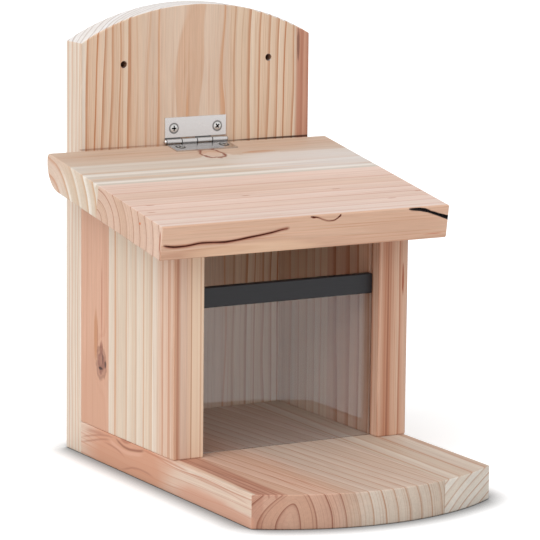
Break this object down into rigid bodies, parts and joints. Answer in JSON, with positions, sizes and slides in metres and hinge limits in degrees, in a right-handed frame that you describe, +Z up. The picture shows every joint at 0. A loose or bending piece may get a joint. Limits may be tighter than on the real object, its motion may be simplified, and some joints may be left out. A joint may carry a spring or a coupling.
{
  "type": "squirrel feeder box",
  "caption": "Wooden feeder box for squirrels with a hinged sloping lid, a clear front pane, an arched backboard and a deep bowed base as a platform.",
  "frame": {"origin": "on the ground under the middle plane of the boards, midway between the base's front edge and the backboard's rear face", "axes": "+X across the box to its right as seen from the front, +Y from the front towards the wall, +Z up"},
  "size_m": [0.172, 0.231, 0.2445],
  "materials": {
    "backboard_wood": "planed softwood, bare",
    "base_wood": "planed softwood, bare",
    "side_wood": "planed softwood, bare",
    "lid_wood": "planed softwood, bare",
    "clear_pane": "clear acrylic",
    "rail_plastic": "black satin",
    "hinge_steel": "satin steel",
    "screw_steel": "plated steel"
  },
  "bodies": {
    "box": {"backboard": "backboard_wood", "base_board": "base_wood", "left_side_panel": "side_wood", "right_side_panel": "side_wood", "hinge_wall_leaf": "hinge_steel", "hinge_pin": "hinge_steel", "hinge_wall_screws": "screw_steel", "back_to_side_screws": "screw_steel", "back_to_base_screws": "screw_steel", "base_to_side_screws": "screw_steel"},
    "lid": {"roof_lid": "lid_wood", "hinge_lid_leaf": "hinge_steel", "hinge_lid_screws": "screw_steel"},
    "pane": {"front_pane": "clear_pane", "pane_rail": "rail_plastic"}
  },
  "joints": [
    {"name": "lid_hinge", "type": "hinge", "parent": "box", "child": "lid", "pos_m": [-0.001, 0.09585, 0.1694], "axis": [-1, 0, 0], "range_deg": [0, 101]},
    {"name": "pane_slide", "type": "slide", "parent": "box", "child": "pane", "axis": [0, 0, 1], "range_m": [0, 0.025]}
  ]
}
